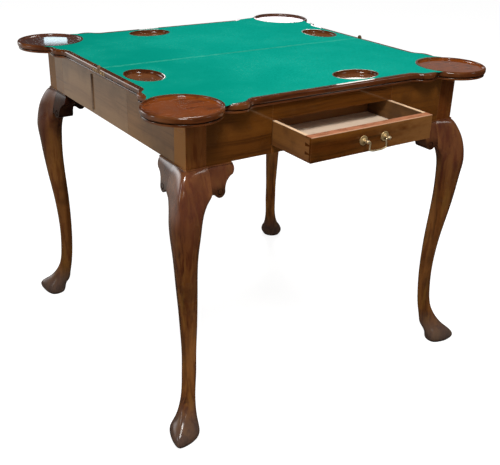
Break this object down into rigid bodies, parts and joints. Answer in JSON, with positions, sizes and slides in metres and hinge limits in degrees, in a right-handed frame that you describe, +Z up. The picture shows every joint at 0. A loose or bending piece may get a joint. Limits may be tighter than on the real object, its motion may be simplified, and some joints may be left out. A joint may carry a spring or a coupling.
{
  "type": "card table",
  "caption": "Folding card table on cabriole legs, opened: baize top with candle dishes and counter wells, concertina side panels and a frieze drawer.",
  "frame": {"origin": "on the floor, under the middle of the open table with its drawer pulled out", "axes": "+X to the right along the drawer front, +Y from the drawer to the back, +Z up"},
  "size_m": [0.854, 0.9024, 0.7262],
  "materials": {
    "top_mahogany": "wax-polished mahogany of the two leaves, dished by hand",
    "frame_mahogany": "dark polished mahogany of the legs, brackets and rails",
    "panel_mahogany": "polished mahogany of the folding side panels, a little paler",
    "drawer_lining": "unpolished drawer lining, pale inside and browned outside",
    "carcass_wood": "plain softwood of the hidden frame pieces",
    "baize": "green woollen baize, glued down flat",
    "handle_brass": "pale old brass",
    "hinge_brass": "dull brass of the card hinges",
    "hinge_iron": "dark wrought iron of the frame hinges",
    "screw_steel": "old steel screws"
  },
  "bodies": {
    "front_frame": {"front_leaf": "top_mahogany", "front_leaf_baize": "baize", "top_screws": "screw_steel", "card_hinge_front_plates": "hinge_brass", "card_hinge_pins": "hinge_brass", "front_left_leg": "frame_mahogany", "front_left_knee_brackets": "frame_mahogany", "front_right_leg": "frame_mahogany", "front_right_knee_brackets": "frame_mahogany", "front_rail_left": "frame_mahogany", "front_rail_right": "frame_mahogany", "drawer_rail_top": "frame_mahogany", "drawer_rail_bottom": "frame_mahogany", "side_rail_left": "frame_mahogany", "side_rail_right": "frame_mahogany", "inner_cross_rail": "carcass_wood", "drawer_runners": "carcass_wood", "lock_slide_bearers": "carcass_wood", "front_corner_blocks": "carcass_wood", "front_hinge_plates": "hinge_iron", "front_hinge_pins": "hinge_iron"},
    "fly_top": {"fly_leaf": "top_mahogany", "fly_leaf_baize": "baize", "card_hinge_fly_plates": "hinge_brass"},
    "left_front_panel_group": {"left_front_panel": "panel_mahogany", "left_front_panel_strap": "hinge_iron", "left_mid_hinge_front_leaf": "hinge_iron"},
    "left_rear_panel_group": {"left_rear_panel": "panel_mahogany", "left_rear_panel_strap": "hinge_iron", "left_mid_hinge_rear_leaf": "hinge_iron", "left_mid_hinge_pin": "hinge_iron"},
    "right_front_panel_group": {"right_front_panel": "panel_mahogany", "right_front_panel_strap": "hinge_iron", "right_mid_hinge_front_leaf": "hinge_iron"},
    "right_rear_panel_group": {"right_rear_panel": "panel_mahogany", "right_rear_panel_strap": "hinge_iron", "right_mid_hinge_rear_leaf": "hinge_iron", "right_mid_hinge_pin": "hinge_iron"},
    "back_frame": {"back_left_leg": "frame_mahogany", "back_left_knee_brackets": "frame_mahogany", "back_right_leg": "frame_mahogany", "back_right_knee_brackets": "frame_mahogany", "back_rail": "frame_mahogany", "back_side_rails": "frame_mahogany", "back_corner_blocks": "carcass_wood", "back_hinge_plates": "hinge_iron", "back_hinge_pins": "hinge_iron"},
    "lock_slide": {"lock_slide": "carcass_wood", "lock_slide_pull": "frame_mahogany"},
    "drawer": {"drawer_front": "frame_mahogany", "drawer_side_left": "drawer_lining", "drawer_side_right": "drawer_lining", "drawer_back": "drawer_lining", "drawer_bottom": "drawer_lining", "handle_roses": "handle_brass", "handle_posts": "handle_brass", "handle_nuts": "handle_brass"},
    "handle_bail": {"handle_bail": "handle_brass"}
  },
  "joints": [
    {"name": "fly_leaf_hinge", "type": "hinge", "parent": "front_frame", "child": "fly_top", "pos_m": [0, 0.03925, 0.7202], "axis": [1, 0, 0], "range_deg": [0, 180]},
    {"name": "left_front_fold", "type": "hinge", "parent": "front_frame", "child": "left_front_panel_group", "pos_m": [-0.3315, -0.08475, 0.651], "axis": [0, 0, -1], "range_deg": [0, 90]},
    {"name": "left_mid_fold", "type": "hinge", "parent": "left_front_panel_group", "child": "left_rear_panel_group", "pos_m": [-0.3518, 0.11525, 0.651], "axis": [0, 0, 1], "range_deg": [0, 180]},
    {"name": "left_rear_fold", "type": "hinge", "parent": "left_rear_panel_group", "child": "back_frame", "pos_m": [-0.3315, 0.31525, 0.651], "axis": [0, 0, -1], "range_deg": [0, 90]},
    {"name": "right_front_fold", "type": "hinge", "parent": "front_frame", "child": "right_front_panel_group", "pos_m": [0.3315, -0.08475, 0.651], "axis": [0, 0, 1], "range_deg": [0, 90]},
    {"name": "right_mid_fold", "type": "hinge", "parent": "right_front_panel_group", "child": "right_rear_panel_group", "pos_m": [0.3518, 0.11525, 0.651], "axis": [0, 0, -1], "range_deg": [0, 180]},
    {"name": "lock_slide_travel", "type": "slide", "parent": "front_frame", "child": "lock_slide", "axis": [0, -1, 0], "range_m": [-0.14, 0]},
    {"name": "drawer_slide", "type": "slide", "parent": "front_frame", "child": "drawer", "axis": [0, -1, 0], "range_m": [-0.124, 0.045]},
    {"name": "bail_swing", "type": "hinge", "parent": "drawer", "child": "handle_bail", "pos_m": [0, -0.44725, 0.6418], "axis": [-1, 0, 0], "range_deg": [-25, 100]}
  ],
  "couplings": [
    {"joint": "left_mid_fold", "follows": "left_front_fold", "ratio": 2},
    {"joint": "left_rear_fold", "follows": "left_front_fold", "ratio": 1},
    {"joint": "right_front_fold", "follows": "left_front_fold", "ratio": 1},
    {"joint": "right_mid_fold", "follows": "left_front_fold", "ratio": 2}
  ]
}
